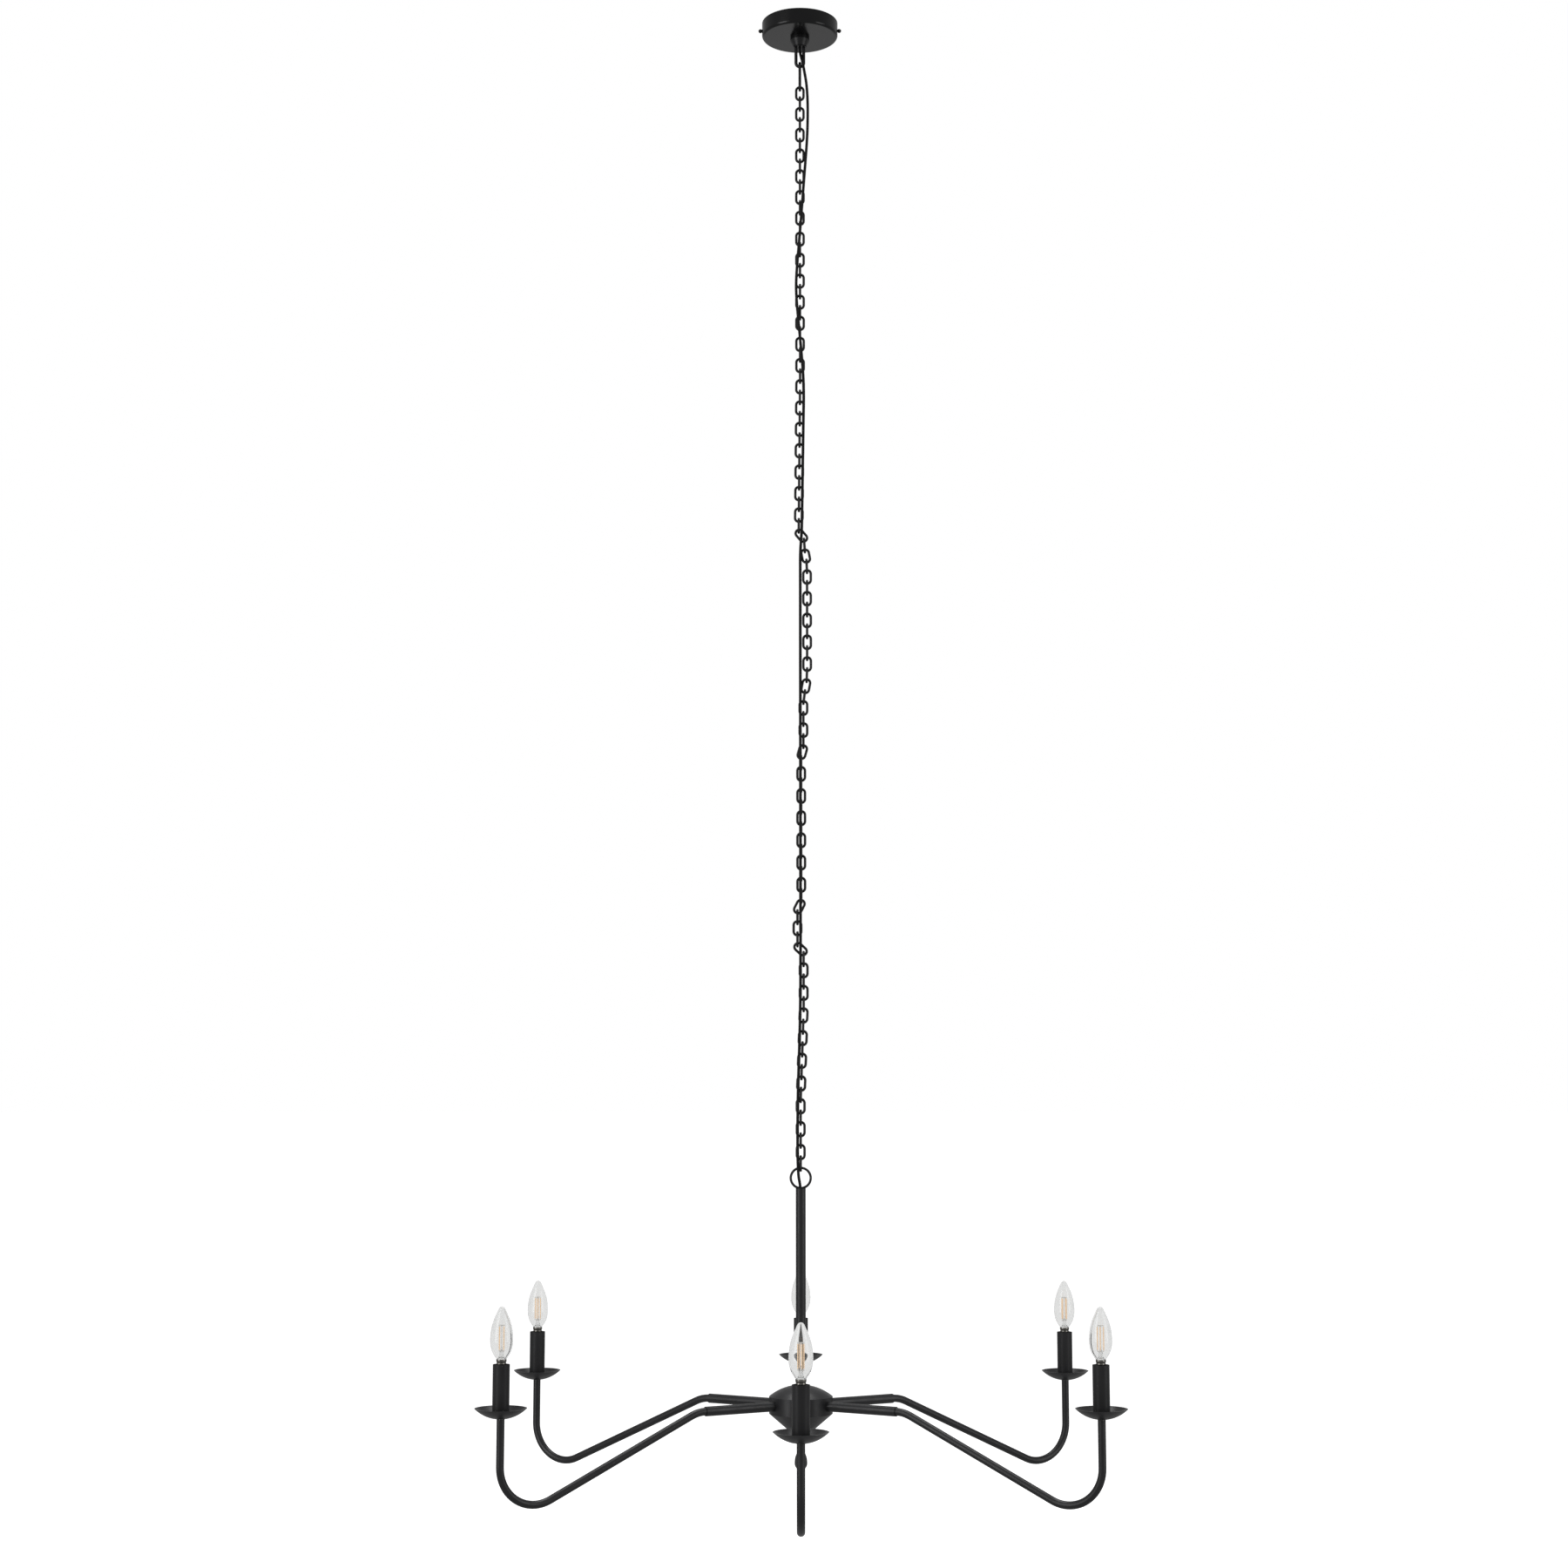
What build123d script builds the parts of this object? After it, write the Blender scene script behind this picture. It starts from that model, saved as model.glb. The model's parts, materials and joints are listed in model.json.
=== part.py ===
from build123d import *
import math
import os

# Six arm chandelier on a chain. Millimetres, +Z up, origin in the middle of the ceiling plane.
# The front arm points along -Y and the arms follow each other anticlockwise seen from above.

# Fits and walls
seat_gap = 0.3  # between pieces that move on each other
slip_gap = 0.05  # radial play of a tube or thread in its hole
sheet = 1.2  # wall of the pressed shells

# Ceiling cup, bracket and terminals
cup_d = 128.0
cup_h = 25.0
cup_edge_r = 4.0
bracket_w = 18.0
bracket_t = 2.0
ear_h = 18.0
slot_spacing = 84.0
slot_l = 20.0
slot_w = 5.2
screw_d = 3.2
screw_ball_d = 7.0
screw_z = -12.5
screw_l = 9.0
block_x = 14.0
block_l = 16.0
block_h = 10.0
block_poles = 3
block_screw_d = 3.4

# Hanger under the cup
nipple_d = 10.0
nipple_bore_d = 6.0
nipple_rise = 8.0
nut_af = 17.0
nut_h = 5.0
collar_d = 32.0
collar_rim_h = 5.0
collar_h = 17.5
collar_foot_d = 22.6
loop_wire = 5.4
loop_w = 18.4
loop_h = 36.0

# Chain and flex
first_wire = 4.8
first_w = 16.8
first_l = 51.5
link_wire = 4.2
link_w = 16.6
link_l = 26.91
link_gap = 0.3  # play between two links
link_count = 100
mid_number = 50
flex_d = 4.8
flex_gap = 0.5
flex_slack = 1.5  # more room in the corner of two crossed links
flex_swell = 2.5  # more room where it crosses in front
flex_strip = 8.0  # bared length in the connector
flex_run = 40.0  # along the stem's front wall
flex_drop = 70.0  # straight down to the rod

# Ring and stem
ring_d = 36.0
ring_wire = 4.0
ring_sink = 1.5  # how far the ring's foot is let into the stem
stem_d = 16.0
stem_wall = 0.8
stem_l = 308.0

# Hub
band_d = 101.0
band_h = 26.6
band_wall = 1.5
dome_h = 17.7
cone_h = 32.0
cone_foot_d = 26.0
rod_d = 10.0
rod_bore_d = 5.6
rod_socket_h = 26.0
connector_d = 42.0
connector_h = 10.0
finial_top_d = 23.0
finial_neck_d = 11.0
finial_neck_drop = 27.3
finial_ball_d = 20.0
finial_ball_drop = 43.0
finial_h = 56.6
finial_tip_r = 1.0
finial_bore = 14.0

# Arms
arm_count = 6
arm_reach = 515.0
arm_d = 12.0
arm_wall = 1.0
arm_slope = 24.4
arm_bend_r = 60.0
arm_foot_r = 58.0
sleeve_d = 15.0
sleeve_end = 171.0
sleeve_tail = 7.0  # length inside the band
sleeve_nut_af = 22.0
wire_d = 3.6

# Dishes, candles and bulbs
dish_d = 78.6
dish_depth = 16.0
dish_rise = 25.8  # rim above the sleeves' axis
holder_d = 20.6
holder_h = 76.0
holder_bore_d = 14.8
holder_well = 21.0
thread_hold = 15.0  # nipple in the lampholder and in the arm
stud_wall = 1.5
candle_d = 25.5
candle_wall = 1.0
candle_h = 77.0
cap_d = 13.6
cap_stand = 1.5  # collar above the lampholder
cap_collar_d = 16.0
cap_collar_h = 7.6
cap_tip_d = 8.0
cap_tip_h = 3.6
glass_d = 35.0
glass_h = 78.3
glass_neck_d = 15.0
glass_wall = 0.9
filament_d = 1.6
filament_l = 34.5
filament_ring_d = 10.0
filament_count = 4
mount_h = 13.5

nodes = {}


def turned(*outline):
    """Solid of revolution about Z from a closed outline of (radius, height) points."""
    return revolve(Plane.XZ * make_face(Polyline(*outline, close=True)), Axis.Z)


def turned_curves(*curves):
    """Solid of revolution about Z from curves that close an outline in (radius, height)."""
    return revolve(Plane.XZ * make_face(Curve() + list(curves)), Axis.Z)


def bar_along(path, diameter):
    """Round bar along straight runs and arcs, made of cylinders and pieces of rings."""
    pieces = []
    for edge in path.edges():
        start = edge @ 0
        heading = edge % 0
        section = Plane(origin=start, z_dir=heading) * Circle(diameter / 2)
        if edge.geom_type == GeomType.LINE:
            pieces.append(extrude(section, edge.length, dir=heading))
        else:
            spoke = (start - edge.arc_center).normalized()
            hinge = Axis(edge.arc_center, spoke.cross(heading))
            pieces.append(revolve(section, hinge, math.degrees(edge.length / edge.radius)))
    return pieces[0] + pieces[1:] if len(pieces) > 1 else pieces[0]


def tube(path, outer_d, bore_d=0.0):
    """Round bar along a path, or a tube if it has a bore."""
    bar = bar_along(path, outer_d)
    if bore_d > 0:
        bar -= bar_along(path, bore_d)
    return bar


def hex_nut(across_flats, height, bore_d):
    """Hexagon nut standing on the XY plane."""
    blank = extrude(RegularPolygon(across_flats / 2, 6, major_radius=False), height)
    return blank - extrude(Circle(bore_d / 2), height)


def oval_link(length, width, wire):
    """Closed oval link in the XY plane, long way along Y, by its outer sizes."""
    half_w = (width - wire) / 2
    half_l = (length - width) / 2
    right = Line((half_w, -half_l), (half_w, half_l))
    top = CenterArc((0, half_l), half_w, 0, 180)
    left = Line((-half_w, half_l), (-half_w, -half_l))
    bottom = CenterArc((0, -half_l), half_w, 180, 180)
    return tube(Wire([right, top, left, bottom]), wire)


def polar(radius, degrees, z=0.0):
    """Point at a radius and an angle about Z."""
    angle = math.radians(degrees)
    return Vector(radius * math.cos(angle), radius * math.sin(angle), z)


# Bracket: a strap folded down at both ends, screwed to the ceiling through its slots
cup_bore_r = cup_d / 2 - sheet
ear_x = math.sqrt(cup_bore_r**2 - (bracket_w / 2) ** 2) - seat_gap
strap = Rectangle(2 * ear_x, ear_h, align=(Align.CENTER, Align.MAX))
strap = fillet(strap.vertices().group_by(Axis.Y)[-1], bracket_t + 1)
inner = Rectangle(2 * (ear_x - bracket_t), ear_h - bracket_t, align=(Align.CENTER, Align.MAX))
inner = Pos(0, -bracket_t) * fillet(inner.vertices().group_by(Axis.Y)[-1], 1)
bracket = extrude(Plane.XZ * (strap - inner), bracket_w / 2, both=True)
for side in (-1, 1):
    slot = extrude(SlotOverall(slot_l, slot_w), -bracket_t)
    bracket -= Pos(side * slot_spacing / 2, 0, 0) * slot
ear_hole_d = screw_d + 2 * slip_gap
bracket -= Pos(0, 0, screw_z) * Rot(0, 90, 0) * Cylinder(ear_hole_d / 2, 2 * cup_d)
nodes["ceiling_bracket"] = bracket

# Cup: pressed shell, open against the ceiling, with a hole for the nipple and two for its screws
cup = Pos(0, 0, -cup_h / 2) * Cylinder(cup_d / 2, cup_h)
cup = fillet(cup.edges().group_by(Axis.Z)[0], cup_edge_r)
hollow = Pos(0, 0, sheet - cup_h / 2) * Cylinder(cup_bore_r, cup_h)
cup -= fillet(hollow.edges().group_by(Axis.Z)[0], cup_edge_r - sheet)
cup -= Pos(0, 0, -cup_h) * Cylinder(nipple_d / 2 + slip_gap, 4 * sheet)
cup -= Pos(0, 0, screw_z) * Rot(0, 90, 0) * Cylinder(ear_hole_d / 2, 2 * cup_d)
nodes["ceiling_cup"] = cup

# Side screws: a shank through cup and ear, and a ball head against the cup's wall
screws = []
for side in (-1, 1):
    head_x = cup_d / 2 + 0.4 * screw_ball_d
    shank = Pos(head_x - screw_l / 2, 0, screw_z) * Rot(0, 90, 0) * Cylinder(screw_d / 2, screw_l)
    head = Pos(head_x, 0, screw_z) * Sphere(screw_ball_d / 2)
    head -= Pos(cup_d / 2 - cup_d, 0, screw_z) * Box(2 * cup_d, cup_d, cup_d)
    screws.append(Rot(0, 0, 90 - 90 * side) * (shank + head))
nodes["cup_screws"] = Compound(children=screws)

# Terminal block under the bracket
block_z = -bracket_t - block_h
block = Pos(block_x + block_l / 2, 0, block_z + block_h / 2) * Box(block_l, bracket_w, block_h)
block = fillet(block.edges().filter_by(Axis.Z), 1)
for pole in range(block_poles):
    pole_y = (pole - (block_poles - 1) / 2) * bracket_w / block_poles
    screw_well = Cylinder(block_screw_d / 2, block_h)
    block -= Pos(block_x + block_l / 2, pole_y, block_z) * screw_well
nodes["terminal_block"] = block

# Collar: a turned bell under the cup, in one piece with its hollow nipple
collar_foot_z = -cup_h - collar_h
nipple_top_z = -cup_h + sheet + nipple_rise
nodes["hanger_collar"] = turned(
    (nipple_bore_d / 2, collar_foot_z),
    (collar_foot_d / 2, collar_foot_z),
    (collar_foot_d / 2, collar_foot_z + 2),
    (collar_d / 2, -cup_h - collar_rim_h),
    (collar_d / 2, -cup_h),
    (nipple_d / 2, -cup_h),
    (nipple_d / 2, nipple_top_z),
    (nipple_bore_d / 2, nipple_top_z),
)
locknut = hex_nut(nut_af, nut_h, nipple_d + 2 * slip_gap)
nodes["hanger_locknut"] = Pos(0, 0, -cup_h + sheet) * locknut

# Loop: wire bent to a U in the XZ plane, brazed to the collar's foot
loop_half = (loop_w - loop_wire) / 2
loop_bar_z = collar_foot_z - loop_h + loop_wire / 2
loop_path = FilletPolyline(
    (-loop_half, 0, collar_foot_z),
    (-loop_half, 0, loop_bar_z),
    (loop_half, 0, loop_bar_z),
    (loop_half, 0, collar_foot_z),
    radius=0.999 * loop_half,
)
nodes["hanger_loop"] = tube(loop_path, loop_wire)

# First link: a long oval in the YZ plane, hung on the loop's bar
first_top_z = loop_bar_z + (loop_wire + first_wire) / 2 + link_gap
first_bar_z = first_top_z - (first_l - first_wire)
first_middle = Vector(0, 0, (first_top_z + first_bar_z) / 2)
first_place = Plane(origin=first_middle, x_dir=(0, 1, 0), z_dir=(1, 0, 0))
nodes["first_link"] = first_place.location * oval_link(first_l, first_w, first_wire)

# Course of the chain and the flex. First the flex winds round the straight chain, then the chain
# swings from side to side behind the flex. A place of the chain is its offset from the flex's axis.
LEFT = -1
RIGHT = 1
bar_step = link_wire + link_gap  # from a link's bar to the bar of the link it holds
link_half = (link_w - link_wire) / 2
reach = (link_wire + flex_d) / 2 + flex_gap
ring_front = (max(ring_wire, link_wire) + flex_d) / 2 + flex_gap
edge = link_half + math.sqrt(2) * reach
corner = reach + flex_slack
far = link_half + reach  # the flex passes right in front of the links
depth_step = (far - reach) / 2


def rounding(side, degrees):
    """The flex goes round a side wire of the links that show their face, 0 being their outer edge."""
    angle = math.radians(degrees)
    return Vector(side * (link_half + reach * math.cos(angle)), reach * math.sin(angle))


def behind(side):
    """The flex lies in front, in the corner between two crossed links."""
    return Vector(side * reach, reach)


winding = {
    0: Vector(edge, 0),
    4: Vector(edge, 0),
    14: Vector(0, -edge - flex_swell),
    18: Vector(-corner, -corner),
    20: Vector(-corner, -corner),
    24: Vector(0, -edge - flex_swell),
    28: Vector(corner, -corner),
}
flex_places = {
    **winding,
    42: Vector(reach / 2, -reach),
    44: Vector(0, -reach),
    86: Vector(0, -reach),
    94: Vector(-reach, -ring_front),
    link_count: Vector(-reach, -ring_front),
}
chain_places = {
    **{number: -place for number, place in winding.items()},
    42: behind(LEFT),
    43: behind(RIGHT),
    44: rounding(RIGHT, 72),
    45: rounding(RIGHT, 36),
    46: rounding(RIGHT, 0),
    55: rounding(RIGHT, 0),
    56: rounding(RIGHT, 36),
    57: rounding(RIGHT, 72),
    58: behind(RIGHT),
    59: behind(RIGHT),
    60: Vector(reach, reach + depth_step),
    61: Vector(reach, reach + depth_step),
    62: Vector(reach, far),
    63: Vector(reach / 4, far),
    76: Vector(reach / 4, far),
    77: Vector(-reach, far),
    78: Vector(-reach, reach + depth_step),
    79: Vector(-reach, reach + depth_step),
    80: behind(LEFT),
    81: behind(RIGHT),
    86: behind(RIGHT),
    94: Vector(reach, ring_front),
    link_count: Vector(reach, ring_front),
}


def along(places, number):
    """Place at the foot of a link, in line between the two nearest given places."""
    below = max(key for key in places if key <= number)
    above = min(key for key in places if key >= number)
    if below == above:
        return places[below]
    share = (number - below) / (above - below)
    return places[below] + (places[above] - places[below]) * share


# Feet of the links, from the first link's bar down. The chain sways about the bars of the links
# that stand edge-on, the even ones, so these span from bar to bar and the odd ones reach between.
feet = [Vector(0, 0, first_bar_z + (first_wire - link_wire) / 2)]
for number in range(1, link_count + 1):
    span = link_l - link_wire
    if number % 2:
        span -= 2 * bar_step
    place = along(flex_places, number) + along(chain_places, number)
    step = place - Vector(feet[-1].X, feet[-1].Y)
    drop = math.sqrt(span**2 - step.length**2)
    feet.append(Vector(place.X, place.Y, feet[-1].Z - drop))


def link_frame(number):
    """Plane of a link: X across it, Y up along it."""
    across = 0.0 if number % 2 else 90.0
    up = (feet[number - 1] - feet[number]).normalized()
    width = polar(1, across)
    width = (width - up * width.dot(up)).normalized()
    middle = (feet[number - 1] + feet[number]) / 2
    return Plane(origin=middle, x_dir=width, z_dir=width.cross(up))


def foot_bar(number):
    """Middle of a link's lower bar, where the next link turns."""
    frame = link_frame(number)
    return frame.origin - frame.y_dir * (link_l - link_wire) / 2


link_blank = oval_link(link_l, link_w, link_wire)


def links(first, last):
    """Links of one stretch of the chain, each its own solid."""
    return [link_frame(number).location * link_blank for number in range(first, last + 1)]


nodes["chain_upper"] = Compound(children=links(1, mid_number - 1))
nodes["mid_link"] = links(mid_number, mid_number)[0]
nodes["chain_lower"] = Compound(children=links(mid_number + 1, link_count - 1))
nodes["end_link"] = links(link_count, link_count)[0]

# Ring and stem: the ring's foot is let into the stem's top edge and brazed there
ring_r = (ring_d - ring_wire) / 2
ring_bar_z = feet[link_count].Z + (link_wire + ring_wire) / 2 + link_gap
ring_z = ring_bar_z - ring_r
ring = Pos(0, 0, ring_z) * Rot(90, 0, 0) * Torus(ring_r, ring_wire / 2)
nodes["hanging_ring"] = ring
stem_top_z = ring_z - ring_d / 2 + ring_sink
dome_top_z = stem_top_z - stem_l
hub_z = dome_top_z - dome_h - band_h / 2
band_r = band_d / 2
dome_ball_r = (band_r**2 + dome_h**2) / (2 * dome_h)
dome_ball = Pos(0, 0, dome_top_z - dome_ball_r) * Sphere(dome_ball_r)
stem_bore_d = stem_d - 2 * stem_wall
stem_foot_z = dome_top_z - stem_wall
stem = Circle(stem_d / 2) - Circle(stem_bore_d / 2)
stem = Pos(0, 0, stem_foot_z) * extrude(stem, stem_top_z - stem_foot_z)
nodes["stem_tube"] = stem - dome_ball - ring

# Hub shells: dome, band and cone, clamped between the stem and the finial
rim_z = hub_z + band_h / 2
dome = dome_ball - Pos(0, 0, dome_top_z - dome_ball_r) * Sphere(dome_ball_r - sheet)
dome -= Pos(0, 0, rim_z - dome_ball_r) * Box(4 * dome_ball_r, 4 * dome_ball_r, 2 * dome_ball_r)
dome -= Pos(0, 0, dome_top_z) * Cylinder(rod_d / 2 + slip_gap, 4 * sheet)
nodes["hub_dome"] = dome
band = extrude(Circle(band_r) - Circle(band_r - band_wall), band_h / 2, both=True)
for arm in range(arm_count):
    sleeve_hole = Rot(0, 90, 0) * Cylinder(sleeve_d / 2 + slip_gap, band_d)
    band -= Rot(0, 0, 360 * arm / arm_count - 90) * Pos(band_r, 0, 0) * sleeve_hole
nodes["hub_band"] = Pos(0, 0, hub_z) * band
cone_top_z = hub_z - band_h / 2
cone_foot_z = cone_top_z - cone_h
cone_foot_r = cone_foot_d / 2
nodes["hub_cone"] = turned(
    (band_r, cone_top_z),
    (cone_foot_r, cone_foot_z),
    (rod_d / 2 + slip_gap, cone_foot_z),
    (rod_d / 2 + slip_gap, cone_foot_z + sheet),
    (cone_foot_r - sheet / 2, cone_foot_z + sheet),
    (band_r - band_wall, cone_top_z),
)

# Centre rod: hollow, screwed into the stem by its wide socket and into the finial at its foot
rod_foot_z = cone_foot_z - finial_bore
socket_foot_z = dome_top_z + sheet
rod = turned(
    (rod_bore_d / 2, rod_foot_z),
    (rod_d / 2, rod_foot_z),
    (rod_d / 2, socket_foot_z),
    (stem_bore_d / 2, socket_foot_z),
    (stem_bore_d / 2, socket_foot_z + rod_socket_h),
    (rod_bore_d / 2, socket_foot_z + rod_socket_h),
)
flex_slot_w = flex_d + 2 * seat_gap
rod -= Pos(rod_d / 2, 0, hub_z + connector_h / 4) * Box(rod_d, flex_slot_w, 1.5 * connector_h)
nodes["centre_rod"] = rod

# Connector: a ring of terminals round the rod, on a nut; a second nut clamps the dome to the stem
connector = Circle(connector_d / 2) - Circle(rod_d / 2 + slip_gap)
connector = extrude(connector, connector_h / 2, both=True)
connector = fillet(connector.edges().filter_by(GeomType.CIRCLE).sort_by(SortBy.RADIUS)[-2:], 1)
flex_end_x = connector_d / 2 - flex_strip
notch_h = connector_h / 2 + flex_slot_w / 2
notch = Box(flex_end_x, flex_slot_w, notch_h, align=(Align.MIN, Align.CENTER, Align.MAX))
connector -= Pos(0, 0, connector_h / 2) * notch
nodes["wire_connector"] = Pos(0, 0, hub_z) * connector
nut_corner_r = nut_af / math.sqrt(3)
nut_ball_r = dome_ball_r - sheet
nut_drop = nut_ball_r - math.sqrt(nut_ball_r**2 - nut_corner_r**2)
upper_nut_z = dome_top_z - sheet - nut_drop - nut_h
lower_nut_z = hub_z - connector_h / 2 - nut_h
hub_nut = hex_nut(nut_af, nut_h, rod_d + 2 * slip_gap)
hub_nuts = [Pos(0, 0, upper_nut_z) * hub_nut, Pos(0, 0, lower_nut_z) * hub_nut]
nodes["hub_nuts"] = Compound(children=hub_nuts)

# Finial: a concave neck and a drop, bored blind for the rod
neck_z = cone_foot_z - finial_neck_drop
ball_z = cone_foot_z - finial_ball_drop
tip_z = cone_foot_z - finial_h
neck_r = finial_neck_d / 2
ball_r = finial_ball_d / 2
flare_mid = (neck_r + 0.25 * (finial_top_d / 2 - neck_r), cone_foot_z - 0.45 * finial_neck_drop)
shoulder_mid = (neck_r + 0.8 * (ball_r - neck_r), neck_z + 0.55 * (ball_z - neck_z))
drop_mid = (0.76 * ball_r, ball_z + 0.68 * (tip_z - ball_z))
finial = turned_curves(
    Line((0, cone_foot_z), (finial_top_d / 2, cone_foot_z)),
    ThreePointArc((finial_top_d / 2, cone_foot_z), flare_mid, (neck_r, neck_z)),
    ThreePointArc((neck_r, neck_z), shoulder_mid, (ball_r, ball_z)),
    ThreePointArc((ball_r, ball_z), drop_mid, (finial_tip_r, tip_z)),
    Line((finial_tip_r, tip_z), (0, tip_z)),
    Line((0, tip_z), (0, cone_foot_z)),
)
finial -= Pos(0, 0, cone_foot_z) * Cylinder(rod_d / 2 + slip_gap, 2 * finial_bore)
nodes["finial"] = finial

# Arm: a tube out of the sleeve, down a slope, round its foot and up to the dish
slope = math.radians(arm_slope)
dish_foot_z = hub_z + dish_rise - dish_depth
dish_ball_r = ((dish_d / 2) ** 2 + dish_depth**2) / (2 * dish_depth)
knee_r = sleeve_end + arm_bend_r * math.tan(slope / 2)
foot_turn = math.pi / 2 + slope
foot_z = hub_z - (arm_reach - knee_r) * math.tan(slope)
sleeve_tail_r = band_r - band_wall - sleeve_tail


def arm_path(first_r, last_z):
    """Middle line of an arm in the XZ plane, from a radius in the hub to a height in the riser."""
    return FilletPolyline(
        (first_r, 0, hub_z),
        (knee_r, 0, hub_z),
        (arm_reach, 0, foot_z),
        (arm_reach, 0, last_z),
        radius=[arm_bend_r, arm_foot_r],
    )


arm_bore_d = arm_d - 2 * arm_wall
arm_line = arm_path(sleeve_tail_r, dish_foot_z)
arm_blank = tube(arm_line, arm_d, arm_bore_d)
sleeve = Circle(sleeve_d / 2) - Circle(arm_d / 2 + slip_gap)
sleeve = extrude(Plane.YZ * sleeve, sleeve_end - sleeve_tail_r)
sleeve = Pos(sleeve_tail_r, 0, hub_z) * sleeve
sleeve_nut_r = sleeve_nut_af / math.sqrt(3)
nut_seat_r = math.sqrt((band_r - band_wall) ** 2 - sleeve_nut_r**2)
sleeve_nut = hex_nut(sleeve_nut_af, nut_h, sleeve_d + 2 * slip_gap)
sleeve_nut = Pos(nut_seat_r - nut_h, 0, hub_z) * Rot(0, 90, 0) * sleeve_nut

# Dish: a spun bowl on the arm's end, held by a nipple that carries the lampholder
dish_ball_z = dish_foot_z + dish_ball_r
bowl = Pos(0, 0, dish_ball_z) * (Sphere(dish_ball_r) - Sphere(dish_ball_r - sheet))
above_rim = Box(4 * dish_d, 4 * dish_d, 4 * dish_d, align=(Align.CENTER, Align.CENTER, Align.MIN))
bowl -= Pos(0, 0, hub_z + dish_rise) * above_rim
stud_d = arm_bore_d - 2 * slip_gap
dish_blank = bowl - Pos(0, 0, dish_foot_z) * Cylinder(stud_d / 2 + slip_gap, 4 * sheet)


def bowl_height(radius):
    """Height of the bowl's inside at a radius from its middle."""
    inner_r = dish_ball_r - sheet
    return dish_ball_z - math.sqrt(inner_r**2 - radius**2)


holder_foot_z = bowl_height(holder_d / 2) + slip_gap
holder_top_z = holder_foot_z + holder_h
well_z = holder_top_z - holder_well
stud_top_z = holder_foot_z + thread_hold
holder_blank = turned(
    (stud_d / 2 + slip_gap, holder_foot_z),
    (holder_d / 2, holder_foot_z),
    (holder_d / 2, holder_top_z),
    (holder_bore_d / 2, holder_top_z),
    (holder_bore_d / 2, well_z),
    (0, well_z),
    (0, stud_top_z),
    (stud_d / 2 + slip_gap, stud_top_z),
)
stud_l = stud_top_z - dish_foot_z + thread_hold
stud_blank = Circle(stud_d / 2) - Circle(stud_d / 2 - stud_wall)
stud_blank = Pos(0, 0, stud_top_z - stud_l) * extrude(stud_blank, stud_l)
wire_line = arm_path(connector_d / 2, stud_top_z)
wire_blank = tube(wire_line, wire_d)

# Candle cover: a plain tube that stands loose in the dish round the lampholder
candle_foot_z = bowl_height(candle_d / 2) + seat_gap
candle_blank = Circle(candle_d / 2) - Circle(candle_d / 2 - candle_wall)
candle_blank = Pos(0, 0, candle_foot_z) * extrude(candle_blank, candle_h)

# Bulb cap: contact tip, screw shell and collar, with the filament mount standing on it
cap_tip_z = well_z + seat_gap
cap_shoulder_z = cap_tip_z + cap_tip_h
collar_z = holder_top_z + cap_stand
glass_z = collar_z + cap_collar_h
cap = turned(
    (0, cap_tip_z),
    (cap_tip_d / 2, cap_tip_z),
    (cap_d / 2, cap_shoulder_z),
    (cap_d / 2, collar_z),
    (cap_collar_d / 2, collar_z + 1),
    (cap_collar_d / 2, glass_z),
    (0, glass_z),
)
ring_foot_z = glass_z + mount_h
ring_top_z = ring_foot_z + filament_l
plate_r = filament_ring_d / 2 + filament_d
mount = turned(
    (0, glass_z),
    (filament_ring_d / 2, glass_z),
    (filament_d, ring_foot_z - filament_d),
    (plate_r, ring_foot_z - filament_d / 2),
    (plate_r, ring_foot_z),
    (filament_d / 2, ring_foot_z),
    (filament_d / 2, ring_top_z),
    (plate_r, ring_top_z),
    (plate_r, ring_top_z + filament_d / 2),
    (0, ring_top_z + filament_d / 2),
)
filament = Cylinder(filament_d / 2, filament_l, align=(Align.CENTER, Align.CENTER, Align.MIN))
for strand in range(filament_count):
    strand_place = polar(filament_ring_d / 2, 360 * strand / filament_count, ring_foot_z)
    mount += Pos(strand_place) * filament

# Bulb glass: a blown candle shape, one even wall all round


def glass_curve(inset):
    """Half outline of the bulb, from its neck to its tip, moved inwards by an inset."""
    belly = glass_d / 2
    return Spline(
        (glass_neck_d / 2 - inset, glass_z),
        (belly * 0.80 - inset, glass_z + glass_h * 0.16),
        (belly - inset, glass_z + glass_h * 0.37),
        (belly * 0.79 - inset, glass_z + glass_h * 0.64),
        (belly * 0.36 - inset / 2, glass_z + glass_h * 0.88),
        (0, glass_z + glass_h - inset),
        tangents=((0.35, 1), (-1, 0.35)),
    )


outer_glass = glass_curve(0)
inner_glass = glass_curve(glass_wall)
glass_blank = turned_curves(
    outer_glass,
    Line(outer_glass @ 1, inner_glass @ 1),
    inner_glass,
    Line(inner_glass @ 0, outer_glass @ 0),
)

# Six arms round the hub
sleeves = []
sleeve_nuts = []
wires = []
studs = []
holders = []
out = Pos(arm_reach, 0, 0)
for arm in range(arm_count):
    turn = Rot(0, 0, 360 * arm / arm_count - 90)
    label = str(arm + 1)
    sleeves.append(turn * sleeve)
    sleeve_nuts.append(turn * sleeve_nut)
    wires.append(turn * wire_blank)
    studs.append(turn * out * stud_blank)
    holders.append(turn * out * holder_blank)
    nodes["arm_tube_" + label] = turn * arm_blank
    nodes["drip_dish_" + label] = turn * out * dish_blank
    nodes["candle_cover_" + label] = turn * out * candle_blank
    nodes["bulb_cap_" + label] = Compound(children=[turn * out * cap, turn * out * mount])
    nodes["bulb_glass_" + label] = turn * out * glass_blank
nodes["arm_sleeves"] = Compound(children=sleeves)
nodes["sleeve_nuts"] = Compound(children=sleeve_nuts)
nodes["arm_wires"] = Compound(children=wires)
nodes["holder_nipples"] = Compound(children=studs)
nodes["lampholders"] = Compound(children=holders)

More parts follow.
